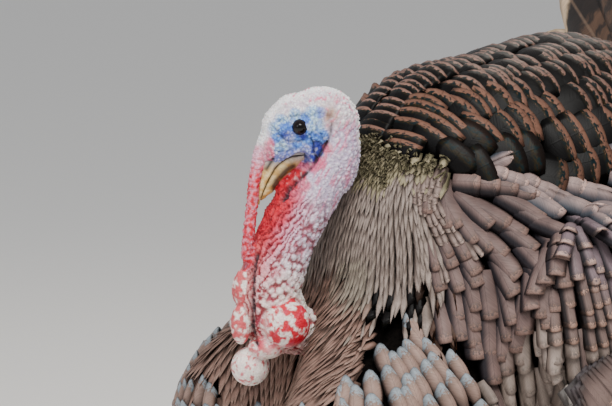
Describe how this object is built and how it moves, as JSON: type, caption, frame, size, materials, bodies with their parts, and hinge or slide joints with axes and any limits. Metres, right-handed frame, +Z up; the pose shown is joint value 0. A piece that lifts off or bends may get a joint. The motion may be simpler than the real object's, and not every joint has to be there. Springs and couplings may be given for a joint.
{
  "type": "domestic turkey tom, strutting display model",
  "caption": "Still life-size model of a standing bronze turkey tom in full strut, with a fanned tail, drooped wings and a bare head.",
  "frame": {"origin": "bottom centre of the bird's box, on the floor it stands on", "axes": "+Z up, -X the way the bird faces, -Y its left side"},
  "size_m": [0.6286, 0.7444, 0.9038],
  "materials": {
    "body_plumage": "glossy contour feathers, bronze and black with pale tips",
    "tail_feathers": "satin vanes, mottled brown and black with a buff band",
    "wing_feathers": "satin vanes, brown-grey with pale edges and white bars",
    "beard_bristle": "coarse black bristles",
    "head_skin": "bare pebbled skin, white crown and blue face",
    "neck_skin": "bare wrinkled skin, red and white with beads",
    "bill_horn": "satin horn, yellow with a dark smudge",
    "eye": "wet gloss",
    "leg_scales": "dry pinkish scutes",
    "claw_horn": "satin dark horn"
  },
  "bodies": {
    "root": {"torso": "body_plumage", "tail": "tail_feathers", "wing_left": "wing_feathers", "wing_right": "wing_feathers", "thigh_left": "body_plumage", "thigh_right": "body_plumage", "beard": "beard_bristle", "head": "head_skin", "neck": "neck_skin", "snood": "neck_skin", "bill_upper": "bill_horn", "bill_lower": "bill_horn", "eye_left": "eye", "eye_right": "eye", "shank_left": "leg_scales", "shank_right": "leg_scales", "foot_left": "leg_scales", "foot_right": "leg_scales", "spur_left": "claw_horn", "spur_right": "claw_horn", "claw_left_inner": "claw_horn", "claw_left_middle": "claw_horn", "claw_left_outer": "claw_horn", "claw_left_hind": "claw_horn", "claw_right_inner": "claw_horn", "claw_right_middle": "claw_horn", "claw_right_outer": "claw_horn", "claw_right_hind": "claw_horn"}
  },
  "joints": []
}
